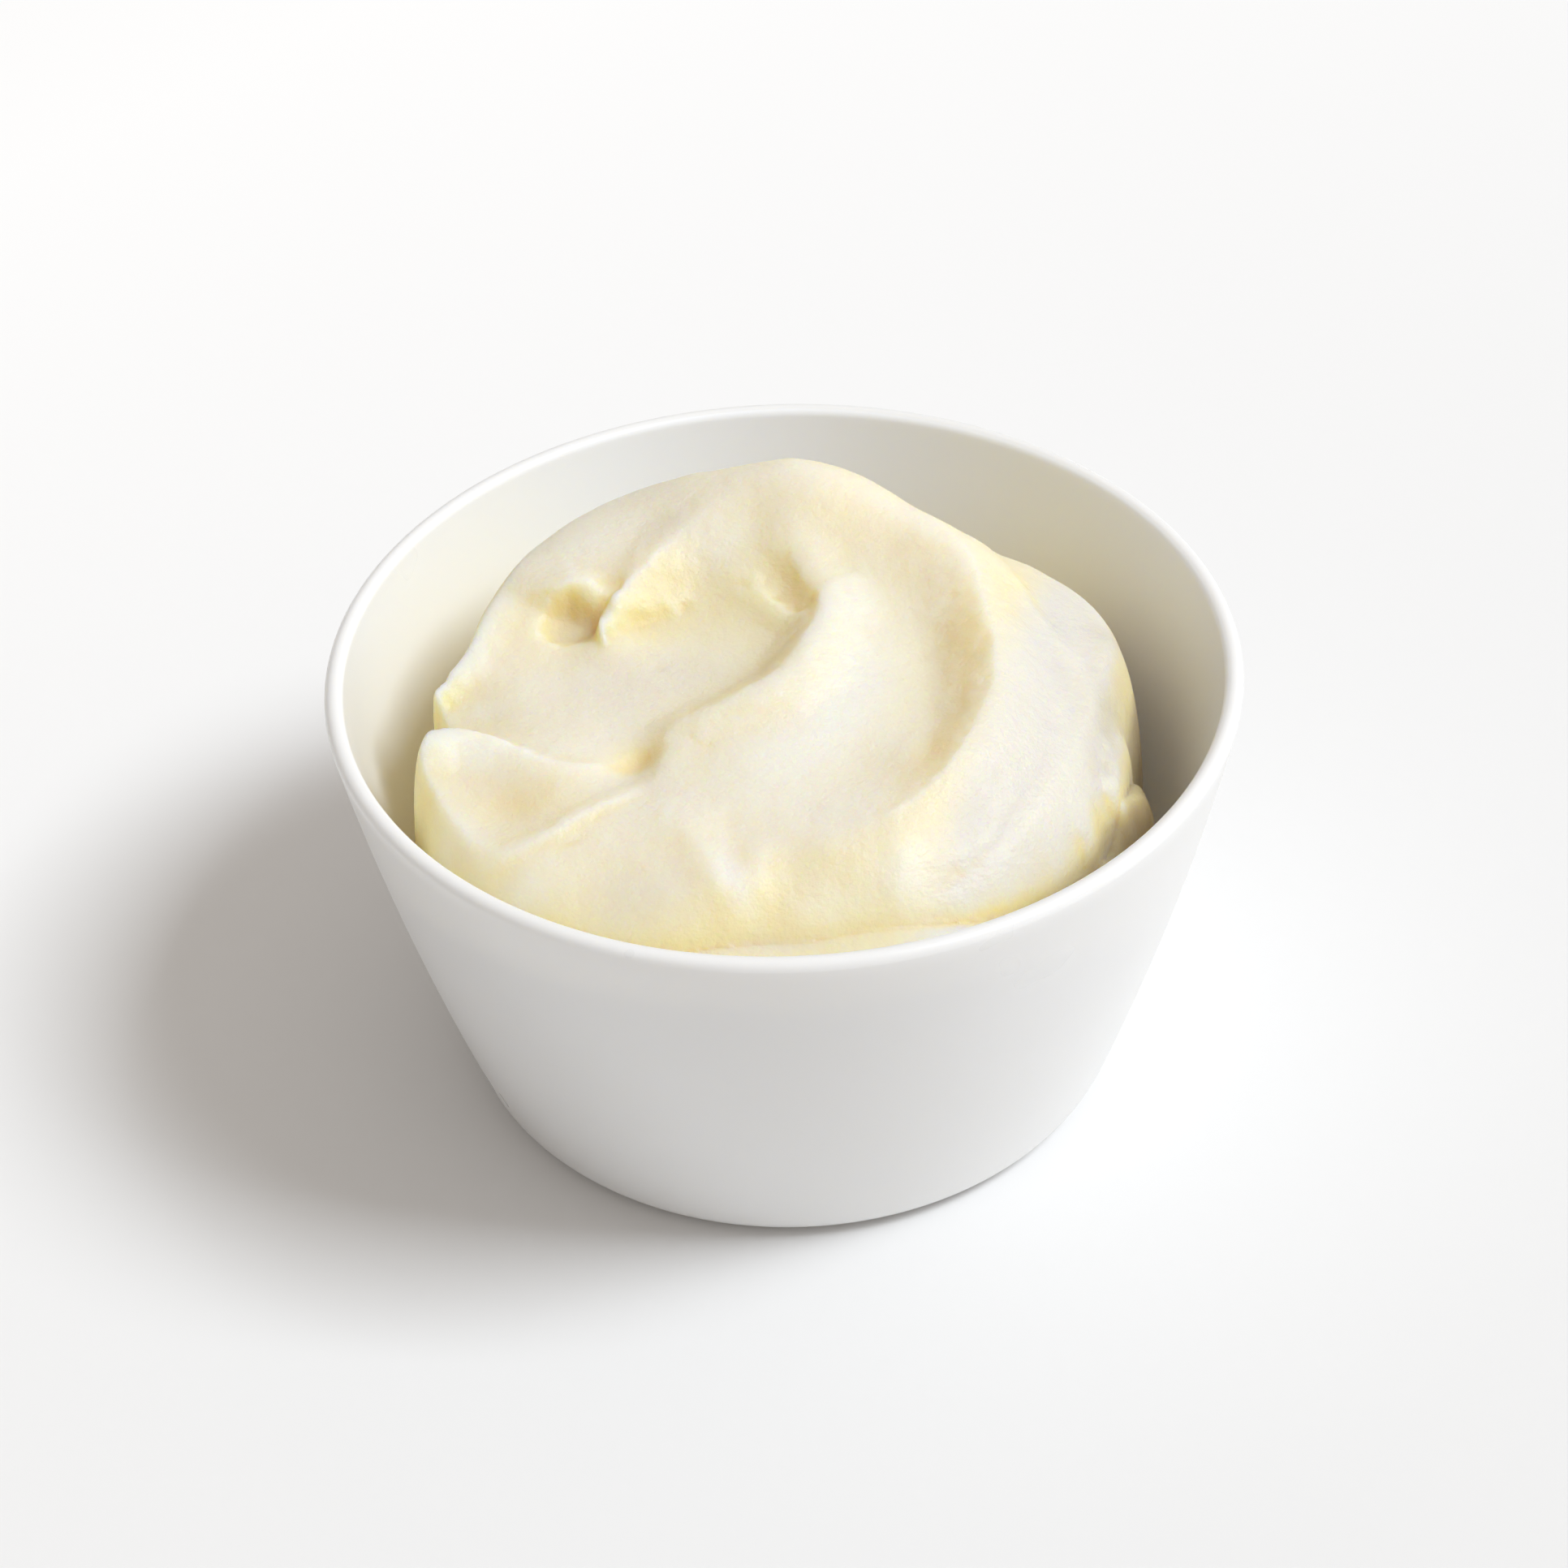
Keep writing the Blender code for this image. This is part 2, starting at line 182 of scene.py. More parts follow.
def rangeNode(nodes, links, source, fromLow, fromHigh, toLow, toHigh):
    ranger = nodes.new("ShaderNodeMapRange")
    ranger.inputs["From Min"].default_value = fromLow
    ranger.inputs["From Max"].default_value = fromHigh
    ranger.inputs["To Min"].default_value = toLow
    ranger.inputs["To Max"].default_value = toHigh
    links.new(source, ranger.inputs["Value"])
    return ranger.outputs["Result"]


def mixColours(nodes, links, factor, first, second):
    # first and second are colours or sockets
    mix = nodes.new("ShaderNodeMix")
    mix.data_type = "RGBA"
    links.new(factor, mix.inputs["Factor"])
    for value, socket in ((first, mix.inputs[6]), (second, mix.inputs[7])):
        if isinstance(value, tuple):
            socket.default_value = (*value, 1.0)
        else:
            links.new(value, socket)
    return mix.outputs[2]


def splitPlace(nodes, links, kind):
    # the X, Y and Z sockets of the place, in Object or Generated coordinates
    place = nodes.new("ShaderNodeTexCoord")
    split = nodes.new("ShaderNodeSeparateXYZ")
    links.new(place.outputs[kind], split.inputs[0])
    return split.outputs


def readMask(nodes, name):
    mask = nodes.new("ShaderNodeAttribute")
    mask.attribute_name = name
    return mask.outputs["Fac"]


def bumpNode(nodes, links, height, distance, strength, below=None):
    bump = nodes.new("ShaderNodeBump")
    bump.inputs["Strength"].default_value = strength
    bump.inputs["Distance"].default_value = distance
    links.new(height, bump.inputs["Height"])
    if below is not None:
        links.new(below, bump.inputs["Normal"])
    return bump.outputs["Normal"]


# Bowl

bowlShape = {
    "rimRadius": 57.5, "height": 60.0, "baseRadius": 43.1, "lip": 2.4, "bulge": 1.05,
    "wallGrowth": 0.012, "floor": 4.0, "outerCorner": 3.3, "innerCorner": 8.0,
    "footInner": 33.5, "recess": 32.3, "recessDepth": 1.2,
    "turns": 200, "cornerSteps": 10, "wallSteps": 26, "lipSteps": 14,
    "waver": 0.06,                      # mm that the hand-finished rim is out of round
    "inset": 0.02, "rimInset": 0.06,    # mm that keep the wavering wall inside the solid's box
    "biscuitTop": 0.5, "biscuitFade": 0.3, "biscuitFrom": 32.6, "biscuitWidth": 0.5,
    "foodTop": 53.0, "foodFade": 15.0,  # mm up the inside where the painted warm bounce light from the mash starts, and its fade
}
glaze = {
    "colour": (0.86, 0.86, 0.855), "cloudColour": (0.85, 0.85, 0.843), "roughness": (0.27, 0.33),
    # painted light: the inside colour is lighter and bluer than the outside glaze, to lift the inside
    # and cool the warm light bounced into it
    "biscuit": (0.78, 0.75, 0.70), "paintedBounceNearFood": (0.96, 0.95, 0.91), "inside": (0.93, 0.96, 1.0),
    "cloudSize": 0.03, "grainSize": 0.004, "bump": (0.00004, 0.35), "coat": (0.25, 0.12),
    "throughWeight": 0.6, "throughScale": 0.0025, "throughRadius": (1.0, 0.95, 0.85),
}


def outerRadius(z):
    # straight taper with a slight swelling halfway up
    share = z / (bowlShape["height"] - bowlShape["lip"] / 2)
    taper = (bowlShape["rimRadius"] - bowlShape["baseRadius"]) * share
    return bowlShape["baseRadius"] + taper + 4 * bowlShape["bulge"] * share * (1 - share)


def innerRadius(z):
    # outer radius less the wall, rounded into the floor by a quarter circle
    corner = bowlShape["innerCorner"]
    wall = bowlShape["lip"] + bowlShape["wallGrowth"] * (bowlShape["height"] - z)
    below = np.clip(bowlShape["floor"] + corner - z, 0, corner)
    return outerRadius(z) - wall - corner + np.sqrt(corner**2 - below**2)


def bowlOutline():
    # radius and height from the recess under the foot, up the outside, over the lip and down inside
    shape = bowlShape
    turn = np.linspace(0, math.pi / 2, shape["cornerSteps"] + 1)
    lipZ = shape["height"] - shape["lip"] / 2
    outer = shape["outerCorner"]
    cornerZ = outer * (1 - np.cos(turn))
    cornerR = outerRadius(cornerZ) - outer * (1 - np.sin(turn))
    outZ = np.linspace(outer, lipZ, shape["wallSteps"] + 1)[1:-1]
    over = np.linspace(0, math.pi, shape["lipSteps"] + 1)
    lipR = outerRadius(lipZ) - shape["lip"] / 2 + shape["lip"] / 2 * np.cos(over)
    innerTop = shape["floor"] + shape["innerCorner"]
    inZ = np.linspace(lipZ, innerTop, shape["wallSteps"] + 1)[1:-1]
    downZ = shape["floor"] + shape["innerCorner"] * (1 - np.cos(turn[::-1]))
    radius = np.concatenate([
        [1.0, 16.0, shape["recess"] - 0.6, shape["recess"], shape["footInner"] - 0.2,
         shape["footInner"], shape["footInner"] + 0.4],
        cornerR, outerRadius(outZ), lipR, innerRadius(inZ), innerRadius(downZ), [20.0, 1.0]])
    height = np.concatenate([
        [shape["recessDepth"]] * 3, [shape["recessDepth"] - 0.12, 0.12, 0.02, 0.0],
        cornerZ, outZ, lipZ + shape["lip"] / 2 * np.sin(over), inZ, downZ, [shape["floor"]] * 2])
    return radius, height


def makeBowl():
    # the outline turned round the axis; the wall wavers slightly with the angle, more towards the rim
    radius, height = bowlOutline()
    angle = np.linspace(0, 2 * math.pi, bowlShape["turns"], endpoint=False)[:, None]
    waver = np.sin(2 * angle + 0.7) + 0.5 * np.sin(3 * angle + 2.1)
    rise = (height / bowlShape["height"])**2
    reach = radius - bowlShape["inset"] + (waver * bowlShape["waver"] - bowlShape["rimInset"]) * rise
    points = np.stack([reach * np.cos(angle), reach * np.sin(angle),
                       np.broadcast_to(height, reach.shape)], -1)
    count = len(radius)
    index = np.arange(points.shape[0] * count).reshape(-1, count)
    following = np.roll(index, -1, 0)
    quads = np.stack([index[:, :-1], following[:, :-1], following[:, 1:], index[:, 1:]], -1)
    under, inside = index.size, index.size + 1
    fans = [np.stack([following[:, 0], index[:, 0], np.full(len(index), under)], -1),
            np.stack([index[:, -1], following[:, -1], np.full(len(index), inside)], -1)]
    # the second half of the outline, from the lip on, is the inside
    inner = np.broadcast_to(np.arange(count) > count * 0.55, points.shape[:2]).ravel()
    inner = np.concatenate([inner, [False, True]])
    poles = np.array([[0, 0, height[0]], [0, 0, height[-1]]])
    points = np.concatenate([points.reshape(-1, 3), poles])
    mesh = buildMesh("porcelainBowl", points, quads.reshape(-1, 4), np.concatenate(fans))
    # the glaze stops at the foot ring
    rings = np.hypot(points[:, 0], points[:, 1])
    low = ease((bowlShape["biscuitTop"] - points[:, 2]) / bowlShape["biscuitFade"])
    outward = ease((rings - bowlShape["biscuitFrom"]) / bowlShape["biscuitWidth"])
    addPointMask(mesh, "biscuit", low * outward)
    # painted light: the inside wall near the mash is painted lighter and warmer, as light bounced off
    # the mash would make it
    paintedBounceNearFood = ease((bowlShape["foodTop"] - points[:, 2]) / bowlShape["foodFade"])
    addPointMask(mesh, "paintedBounceNearFood", inner * paintedBounceNearFood)
    addPointMask(mesh, "inside", inner)
    return addPiece("porcelainBowl", mesh, glazeMaterial())


def glazeMaterial():
    material, nodes, links, shader = startMaterial("whiteGlaze")
    variation = addVariation(nodes, glaze["cloudSize"], glaze["grainSize"])
    clouds = rangeNode(nodes, links, variation.outputs["Clouds"], 0.35, 0.65, 0, 1)
    colour = mixColours(nodes, links, clouds, glaze["colour"], glaze["cloudColour"])
    # painted light: the inside is painted lighter and bluer than the outside
    colour = mixColours(nodes, links, readMask(nodes, "inside"), colour, glaze["inside"])
    # painted light: lighter and warmer near the mash, in place of light bounced off it
    colour = mixColours(nodes, links, readMask(nodes, "paintedBounceNearFood"), colour, glaze["paintedBounceNearFood"])
    colour = mixColours(nodes, links, readMask(nodes, "biscuit"), colour, glaze["biscuit"])
    links.new(colour, shader.inputs["Base Color"])
    low, high = glaze["roughness"]
    rough = rangeNode(nodes, links, variation.outputs["Clouds"], 0.3, 0.7, low, high)
    links.new(rough, shader.inputs["Roughness"])
    normal = bumpNode(nodes, links, variation.outputs["Grain"], *glaze["bump"])
    links.new(normal, shader.inputs["Normal"])
    # thin porcelain lets a little light through
    shader.inputs["Subsurface Weight"].default_value = glaze["throughWeight"]
    shader.inputs["Subsurface Scale"].default_value = glaze["throughScale"]
    shader.inputs["Subsurface Radius"].default_value = glaze["throughRadius"]
    shader.inputs["Coat Weight"].default_value = glaze["coat"][0]
    shader.inputs["Coat Roughness"].default_value = glaze["coat"][1]
    return material


bowl = makeBowl()
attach(bowl, "root")
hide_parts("bowl")
print("bowl made:", len(bowl.data.polygons), "faces")


# Mash. The mound is a smooth surface through the heights measured at named places, with the spoon's
# folds on top of it, and it stands on a skirt that reaches the wall. All in mm.

mashShape = {
    "gridSteps": 286, "sideSteps": 3, "cornerSteps": 3, "spinePoints": 90,
    "intoWall": 0.06,                   # mm that the mash presses past the wall's face
    "ragged": (0.15, 1.5), "wander": (0.22, 5.0),      # mm of shift and mm between lumps
    "footWander": (0.22, 5.0),
    "lumps": (0.018, 2.2), "pimples": (0.010, 0.8), "waves": (0.045, 7.0),     # mm deep, mm apart
    "sideLumps": (0.03, 2.0),
    "stiffness": 8.0,                   # of the smooth surface through the heights
    "ovalFall": 1.2,                    # how fast an oval fades, per oval distance
    "fullLean": 3.0,                    # mm of rise, and of steep width, that lean the most
    "overFloor": 0.1, "offWall": 0.3,   # mm between the hidden side of the mash and the bowl
}

# The mound's foot: degrees from +X towards +Y, radius, width of the rounded shoulder over it, and
# the skirt's height at its foot.
mashFoot = [
    (0, 46.4, 6, 28), (8, 47.1, 6, 28), (18, 47.7, 6, 28), (30, 47.1, 6, 28),
    (42, 45, 6, 29), (60, 44.2, 6, 32), (90, 44.3, 6.5, 38), (115, 44, 6, 39), (135, 44.3, 6, 37),
    (155, 43.6, 5, 34), (168, 43.1, 4, 32), (175, 43.0, 3, 31), (180, 43.6, 1.8, 31),
    (183, 44.9, 1.3, 31), (185.5, 44.6, 1.5, 31), (189, 44.8, 2.6, 31), (193, 45.6, 2.6, 32),
    (197, 48.0, 2.2, 35), (201, 49.3, 2.6, 39), (207, 50.2, 3, 43.5), (214, 50.8, 3.5, 47),
    (222, 50.6, 4.5, 49.5), (235, 49.6, 6, 51), (250, 48, 6, 52), (262, 45.7, 6, 52.3),
    (272, 45, 6, 52.3), (282, 44.7, 5, 52.6), (295, 46, 6, 51.5), (308, 47, 6, 48),
    (322, 46.6, 6.5, 41), (336, 45, 6, 33), (348, 44.6, 6, 29),
]

# x, y and height of the finished surface
mashHeights = [
    # peak and the crest behind it, from the left round to the right
    (-38, 9.3, 59.8), (-35.5, 16, 60.7), (-31.5, 23, 61.2), (-26, 28.5, 61.9), (-19, 32.5, 62.6),
    (-11, 33, 65.4), (-4, 31.5, 67.2), (2, 30.6, 68.8), (7, 29, 68.4), (12.2, 26.1, 67.7),
    (19.8, 19.2, 66.6), (23.6, 13, 66.1), (25.4, -1.2, 65.6), (25.5, -9.1, 65.3),
    (24.4, -16.6, 64.9), (20.2, -25.2, 63.7), (17.3, -28.3, 62.9), (12.7, -32.9, 61.4),
    (4.9, -37.2, 59.4),
    # behind and to the right of the crest
    (2, 38.5, 60.5), (14, 34.5, 59.6), (-10, 38, 60.5), (24, 28, 55.2), (31, 22, 57.2),
    (35, 16.5, 57.0), (38, 11, 57.3), (31.9, 6.4, 61.2), (34.3, 0.8, 60.4), (40, 3, 58.2),
    (33, -6, 60.8), (40, -5, 57.8), (32, -16, 60.2), (38.5, -17, 57), (28, -27, 59.3),
    (22, -32, 59), (32, -31, 56.2), (16, -40, 57),
    # inside the coil
    (8.4, 17.6, 66.3), (14, 15, 65.2), (7, 8.8, 64.6), (17.5, 8, 63.8), (20, -3, 62.4),
    (12, -3, 62.2), (8.4, -9.7, 61.9), (16.5, -15, 61.3), (3, -17, 61.4), (10, -24, 60.4),
    (-3, -25, 60.2), (3, -31, 59.8), (-9, -19, 60.6),
    # crest of the curled lip
    (5, 3.2, 64.6), (2.1, -4, 64.1), (-5, -9.8, 62.8), (-13, -13.8, 61), (-15, -19, 59.8),
    # band from the peak to the hook, and the back on the left
    (-7.1, 26, 66.9), (-10.6, 21.7, 66), (-13.5, 18.3, 65.4), (-16.6, 15, 64.7),
    (-20.3, 9.6, 63.3), (-21.8, 5, 61.4), (-4, 22, 66.4), (-6, 17.5, 64.8),
    (-17, 24, 64.1), (-21, 18, 63.4), (-23.5, 13.5, 62.7), (-27.5, 20.5, 62.8), (-33, 18, 61.4),
    (-30.6, 12.8, 61.5), (-25.5, 11.1, 62.2),
    # hollow
    (-12.5, 11.2, 60.7), (-18.5, 8.2, 59.8), (-8, 11.5, 61), (-4, 8, 61), (-1, 3, 60.6),
    (-9, 1, 59.4), (-7, -6.5, 59.4), (-15, 3, 59.2), (-14, -8, 58.8), (-21, -1, 58.6),
    (-27, -5.5, 58), (-34, -3, 57.7), (-27, 3.5, 58.4), (-33.5, 7, 58.8), (-41.5, 1, 58.3),
    (-44, -2.6, 57.8),
    # left lobe, dish and the front
    (-41.5, -6.8, 55.2), (-46, -11.5, 58.2), (-41, -10.9, 58.5), (-35, -10, 57.2),
    (-35.1, -13.9, 59.1), (-31.2, -17.3, 59.4), (-27.4, -19.2, 59.4), (-23, -19.5, 59),
    (-18.6, -19.3, 57.9), (-33.6, -24.1, 56.3), (-43, -20, 57), (-40, -28, 56.2),
    (-28.5, -30.2, 58.2), (-22.4, -26.9, 58.8), (-25.5, -34, 57), (-18, -33, 58),
    (-22, -39, 55.6), (-14, -40, 56.8), (-9.5, -36, 58.6), (-6, -40.5, 57.8), (-3, -34, 59),
    (1, -40, 57), (6, -40.5, 57),
]

# A route point is x, y, rise over the smooth surface, width of the steep side and width of the easy
# side. Steep is the side of the route that the steep slope is on, looking along it. Crisp is how
# sharp the crest is at the route's start and end, from 0 to 1. Lean is how far the crest hangs over
# the steep side.
folds = {
    "inner coil": dict(steep="right", lean=0.3, crisp=(0.3, 1.0), route=[
        (12, 25.5, 0, 14, 9), (15.5, 22.8, 0.7, 14, 9), (19.8, 19.2, 1.5, 13, 9),
        (23.6, 14, 2.2, 11.5, 9), (25.1, 6.7, 2.8, 10, 9), (25.6, -1.2, 3.1, 9, 9),
        (25.8, -9.1, 3.2, 8.4, 10), (24.6, -16.6, 3, 7.6, 11), (22.7, -21.7, 2.6, 6.6, 11),
        (20.4, -25.2, 2.1, 5.6, 11), (17.4, -28.3, 1.6, 5, 11), (15, -30.7, 1.2, 4.6, 10),
        (12.7, -32.9, 0.8, 4.4, 9), (9.4, -35, 0.4, 4.4, 8), (4.9, -37.2, 0, 4, 7)]),
    "coil's outer edge": dict(steep="left", crisp=(0.4, 0.4), route=[
        (24.3, 21.6, 0, 2, 4), (28.7, 13.8, 0.5, 2, 4), (31.9, 6.4, 0.7, 2, 4),
        (34.3, 0.8, 0.6, 2, 4), (37.2, -4.5, 0.4, 2, 4), (38.3, -10.9, 0.2, 2.4, 4),
        (38, -16.5, 0, 2.4, 4)]),
    "curled lip": dict(steep="right", lean=0.25, crisp=(0.9, 0.2), route=[
        (-3, 17, 0, 3, 5), (-1, 16.2, 0.4, 3, 6), (0.8, 15.1, 0.8, 3, 6),
        (2.3, 13, 1.1, 3.6, 7), (3.0, 10.6, 1.4, 4.2, 7), (3.9, 8.5, 1.8, 4.6, 8),
        (4.9, 6.7, 2.4, 4.2, 9), (5.1, 4.4, 2.5, 5.4, 9), (4.4, 1.6, 2.5, 6.4, 9),
        (3.0, -1.5, 2.5, 6.8, 9), (1.7, -4.3, 2.4, 6.6, 9), (-1.1, -8, 2.3, 6, 9),
        (-5.2, -10.4, 2.0, 6.6, 8), (-10.3, -13, 1.5, 6, 7), (-13.2, -14.3, 1.1, 5, 6),
        (-14.4, -16.4, 0.9, 4.4, 6), (-15, -19.4, 0.7, 3, 5), (-15.4, -22.6, 0.4, 3.4, 5),
        (-16, -25.5, 0, 4, 5)]),
    "curl ridge": dict(steep="left", crisp=(0.1, 0.8), route=[
        (-8, 17.5, 0, 3, 3.6), (-7, 15, 0.2, 3, 3.6), (-5, 12.6, 0.4, 2.6, 3.8),
        (-2.8, 10, 0.6, 2.2, 3.8), (-0.9, 7.6, 0.8, 1.8, 3.8), (0.9, 5.8, 0.9, 1.6, 3.6),
        (2.4, 4.9, 0.6, 1.6, 3), (3.6, 4.6, 0, 1.6, 2.6)]),
    "band": dict(steep="right", lean=0.3, crisp=(0.4, 0.9), route=[
        (-2, 30, 0, 6, 7), (-7.1, 26, 0.7, 6.5, 8), (-10.6, 21.7, 1.1, 6.5, 8),
        (-13.5, 18.3, 1.4, 6, 7), (-16.6, 15, 1.7, 5.2, 5.6), (-18.9, 11.9, 2, 4, 4.6),
        (-20.9, 9.6, 2.2, 2.4, 4), (-22.6, 8.2, 2.2, 1.4, 3.6), (-23.1, 6.6, 2.1, 1.2, 3.2),
        (-22.9, 5, 1.8, 1.1, 2.2), (-22.6, 3.9, 1, 1.1, 1.5), (-22.5, 3.2, 0, 1.1, 1.3)]),
    "band's foot": dict(steep="right", crisp=(0.6, 0.6), route=[
        (-22, 4.2, 0, 1.3, 2.4), (-21.2, 6, 0.4, 1.3, 2.4), (-20.1, 7.7, 0.7, 1.3, 2.8),
        (-17.9, 9.3, 0.8, 1.4, 3), (-15.6, 10.1, 0.8, 1.5, 3), (-13, 10.9, 0.6, 1.6, 3),
        (-10.5, 11.8, 0, 2, 3)]),
    "pocket lip": dict(steep="right", lean=0.6, crisp=(0.3, 0.6), route=[
        (-35, 15.4, 0, 3, 6), (-32, 14.2, 0.6, 2.8, 6), (-30.2, 13.2, 1.2, 2.4, 6),
        (-28.3, 12.4, 1.7, 2, 6), (-26, 11.8, 2, 1.8, 5), (-24.3, 10.8, 1.8, 1.8, 4),
        (-23.2, 9.6, 0.8, 1.8, 4), (-22, 8.8, 0, 1.8, 3)]),
    "left rim": dict(steep="right", lean=1.0, crisp=(0.4, 0.4), route=[
        (-34, 14, 0, 4, 5), (-36.4, 12, 0.6, 4, 5), (-38, 9.3, 0.8, 4, 5), (-39.5, 5, 1, 4, 4.5),
        (-41, 2, 1.3, 3.4, 4), (-42.7, -0.6, 1.7, 2.4, 3.2), (-44.2, -2.6, 2.1, 1.8, 2.2),
        (-46, -3.6, 1.4, 1.6, 1.6), (-47.5, -4.2, 0, 1.6, 1.6)]),
    "left lobe": dict(steep="left", lean=0.3, crisp=(0.7, 0.7), route=[
        (-50, -13.6, 1, 1.8, 6), (-45.6, -12.8, 1.7, 1.8, 7), (-43, -12, 2, 1.9, 8),
        (-40.3, -11.1, 1.9, 2, 8), (-37.6, -12.1, 1.7, 2.2, 8), (-35.1, -13.9, 1.5, 2.2, 8),
        (-31.2, -17.3, 1.1, 2.4, 8), (-27.4, -19.2, 0.7, 2.6, 8), (-23, -19.5, 0.4, 2.6, 6),
        (-20, -19.5, 0, 2.6, 5)]),
    "thin ridge": dict(steep="right", lean=0.1, crisp=(0.4, 0.4), route=[
        (-41, -34, 0, 1.8, 3), (-36.5, -33.6, 0.35, 1.8, 3), (-32, -31.9, 0.4, 1.8, 3),
        (-28.2, -30.1, 0.5, 1.7, 3), (-25.3, -28.4, 0.6, 1.6, 3), (-22.2, -26.7, 0.5, 1.7, 3),
        (-19.1, -24.8, 0.35, 1.8, 2.8), (-16.5, -23, 0, 1.8, 2.6)]),
    "spur edge": dict(steep="right", crisp=(0.3, 0.3), route=[
        (-17, -25, 0, 5, 6), (-14.6, -29, 0.4, 5, 6), (-11.8, -32, 0.6, 4.6, 6),
        (-10, -36, 0.6, 4.2, 5), (-8.6, -39.7, 0.5, 4, 4), (-7, -43, 0.3, 3.6, 3),
        (-6.2, -46, 0, 3.4, 3)]),
    "spur's right": dict(steep="left", crisp=(0.2, 0.2), route=[
        (-3.4, -33, 0, 4, 4), (-3.6, -37, 0.4, 3.6, 4), (-4.2, -41, 0.5, 3, 3),
        (-5.8, -45, 0, 2.6, 3)]),
    "coil end": dict(steep="right", crisp=(0.4, 0.4), route=[
        (14.2, -34, 0, 4, 6), (13.3, -37.5, 0.5, 3.4, 6), (12.6, -41.4, 0.8, 3, 6),
        (11.8, -44.6, 0.7, 2.6, 5), (11.5, -47, 0, 2.4, 5)]),
    "coil crease": dict(steep="right", crisp=(0.5, 0.5), route=[
        (33.5, -18.5, 0, 1.4, 1.4), (31.5, -22, -0.2, 1.4, 1.8), (29.5, -26.5, -0.35, 1.4, 2),
        (27, -30, -0.4, 1.4, 2), (23, -35.5, -0.35, 1.4, 2), (18.5, -39, -0.25, 1.4, 2),
        (14.5, -42, 0, 1.4, 1.8)]),
}

# x, y, half length, half width, turn in degrees, depth, and 1 for a soft edge or 2 for a firm one
hollows = [
    (-26.2, 8.6, 4.2, 3.5, -12, 2.2, 2),
    (0.7, 10.6, 5.0, 3.4, -58, 0.7, 1),
    (-5.2, 12, 1.2, 0.8, -30, 0.35, 1),
    (-12.6, 10.2, 0.9, 0.6, 0, 0.3, 1),
    (-18.4, -18.4, 2.6, 1.8, 20, 0.8, 1),
    (-26.2, -32, 2.4, 0.8, 28, 0.25, 1),
    (-15.8, -0.8, 1.1, 0.7, 30, 0.22, 1),
    (17.3, -4.5, 1.0, 0.8, 60, 0.10, 1),
]
# a lower layer of the skirt that shows in the gap on the right, as a hollow turned upwards
skirtLayer = [(42.4, -14.6, 8, 4.0, 71, -17, 2), (37.5, -24, 6, 4.0, 57, -8, 2)]

# where the mash is paler, and where painted shade makes it warmer, duller or darker than the rest:
# ovals as above, but with an amount of the colour, up to 1, in place of the depth
tonesAndPaintedShade = {
    "paler": {"colour": (0.88, 0.87, 0.82), "ovals": [
        (8, -11, 13, 6, 65, 0.7, 1), (9, 5, 8, 4, 80, 0.5, 1), (-37, -15, 7, 3.5, -12, 0.8, 1),
        (-7, -39, 5, 1.8, -60, 0.8, 1), (5, -42, 5, 3, 10, 0.4, 1), (-24, 22, 8, 4, 45, 0.3, 1),
        (-39, 5, 6, 3, 70, 0.4, 1), (-40, -27, 4, 3, 0, 0.4, 1), (13.4, -40, 4.5, 4, 0, 0.7, 1),
        (-1, -22, 10, 5, 40, 0.4, 1), (-7, 17.5, 5, 3, 50, 0.45, 1), (6, -31, 6, 4, 0, 0.3, 1),
        (-37.6, -5, 3, 2.5, 0, 0.5, 1), (-30.7, -37, 4, 2.5, 0, 0.4, 1)]},
    # painted shade: warmer and yellower on the shaded cliffs inside the coil, the dish, the front
    # crease, the curl pocket, the pit and the lip's crease
    "warmer": {"colour": (0.90, 0.77, 0.43), "ovals": [
        (22.4, -5, 11, 3, 88, 0.6, 1), (18.4, -22, 8, 2.8, 55, 0.5, 1),
        (-32.5, -24.3, 6, 3, -10, 0.5, 1), (-3, -46, 5, 1.6, 0, 0.5, 1),
        (3.2, 8, 3, 2.4, 80, 0.5, 1), (-17.8, -18.4, 3.4, 2.4, 20, 0.9, 1),
        (-6, -9, 9, 2, 32, 0.3, 1)]},
    # painted shade: duller in the hollow under the curled lip, beside the band, in the pocket, the pit
    # and on the front face and crease
    "duller": {"colour": (0.77, 0.72, 0.62), "ovals": [
        (-14, -2, 12, 7, 15, 0.75, 1), (-12, 20, 7, 4, -40, 0.5, 1), (-19, -40, 8, 4, -12, 0.4, 1),
        (-3, -46, 7, 1.6, 0, 0.5, 1), (-26.8, 8, 4, 3, 0, 0.4, 1), (-20.4, -22.4, 4, 2, 30, 0.7, 1)]},
    # painted shade: darker along the right edge, in the shade beside the wall
    "darker": {"colour": (0.58, 0.55, 0.49), "ovals": [
        (40, -10, 12, 3, 82, 0.7, 1), (41.5, 5, 5, 3, 90, 0.5, 1)]},
}


def smoothRoute(points):
    # Catmull-Rom curve through the points, all columns at once
    points = np.array(points, float)
    padded = np.vstack([2 * points[0] - points[1], points, 2 * points[-1] - points[-2]])
    place = np.linspace(0, len(points) - 1, mashShape["spinePoints"])
    cell = np.minimum(place.astype(int), len(points) - 2)
    t = (place - cell)[:, None]
    a, b, c, d = (padded[cell + shift] for shift in range(4))
    return 0.5 * (2 * b + (c - a) * t + (2 * a - 5 * b + 4 * c - d) * t**2
                  + (3 * b - a - 3 * c + d) * t**3)


def footAround(angle):
    # the foot's radius, shoulder and skirt height at each angle, on a smooth closed curve
    closed = mashFoot + [(mashFoot[0][0] + 360, *mashFoot[0][1:])]
    curve = smoothRoute(closed)
    turn = np.degrees(angle) % 360
    return [np.interp(turn, curve[:, 0], curve[:, column]) for column in (1, 2, 3)]


